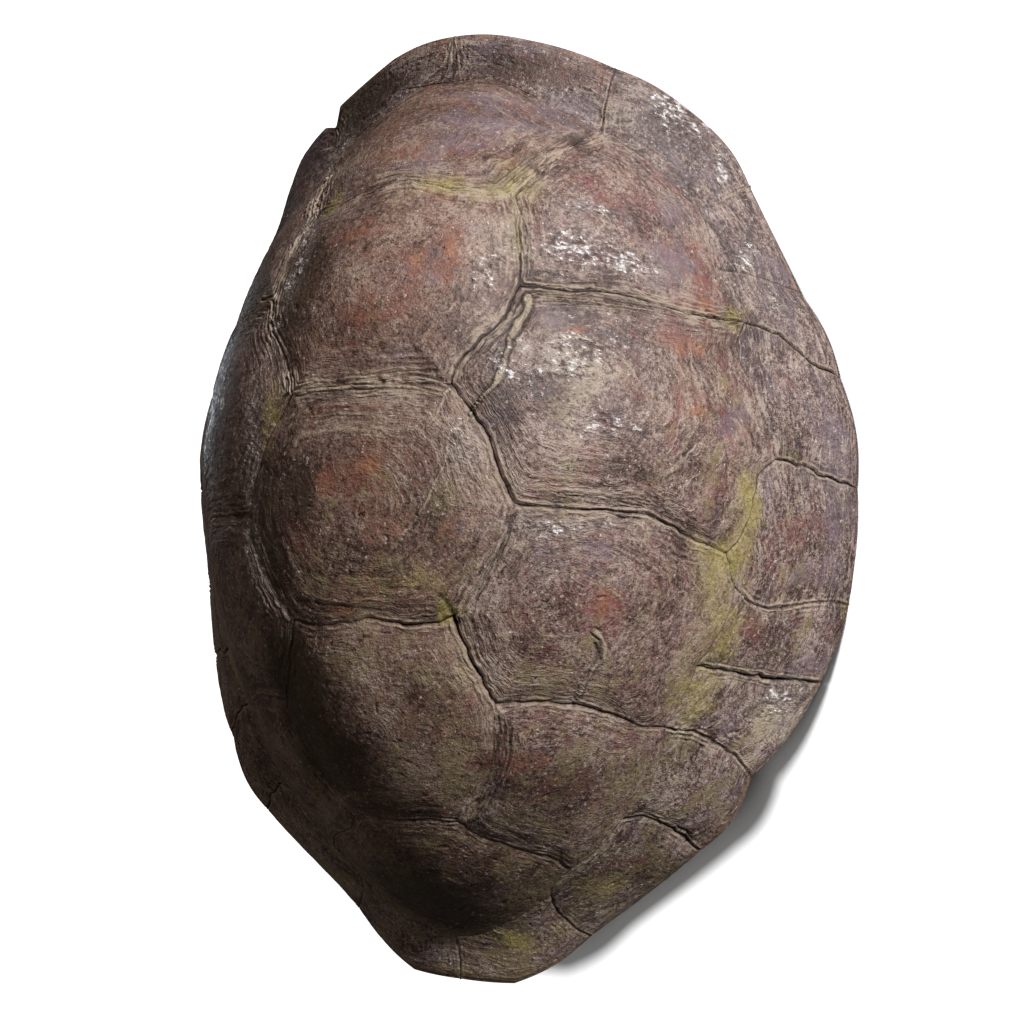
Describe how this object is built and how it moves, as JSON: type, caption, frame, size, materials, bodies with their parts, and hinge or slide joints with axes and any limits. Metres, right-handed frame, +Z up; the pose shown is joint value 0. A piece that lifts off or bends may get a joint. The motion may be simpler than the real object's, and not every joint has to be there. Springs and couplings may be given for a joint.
{
  "type": "turtle shell",
  "caption": "Domed upper shell of a large tortoise: horn plates divided by deep seams over a thin bone vault, hollow and open below, with flared edge plates and worn flank edges to rest on.",
  "frame": {"origin": "on the ground plane below the middle of the shell", "axes": "+Z up, +Y towards the head end, +X towards the animal's right side"},
  "size_m": [0.6486, 0.8019, 0.3065],
  "materials": {
    "horn_scutes": "weathered grey-brown horn with growth rings, reddish and violet patches, lichen in the seams"
  },
  "bodies": {
    "root": {"carapace": "horn_scutes"}
  },
  "joints": []
}
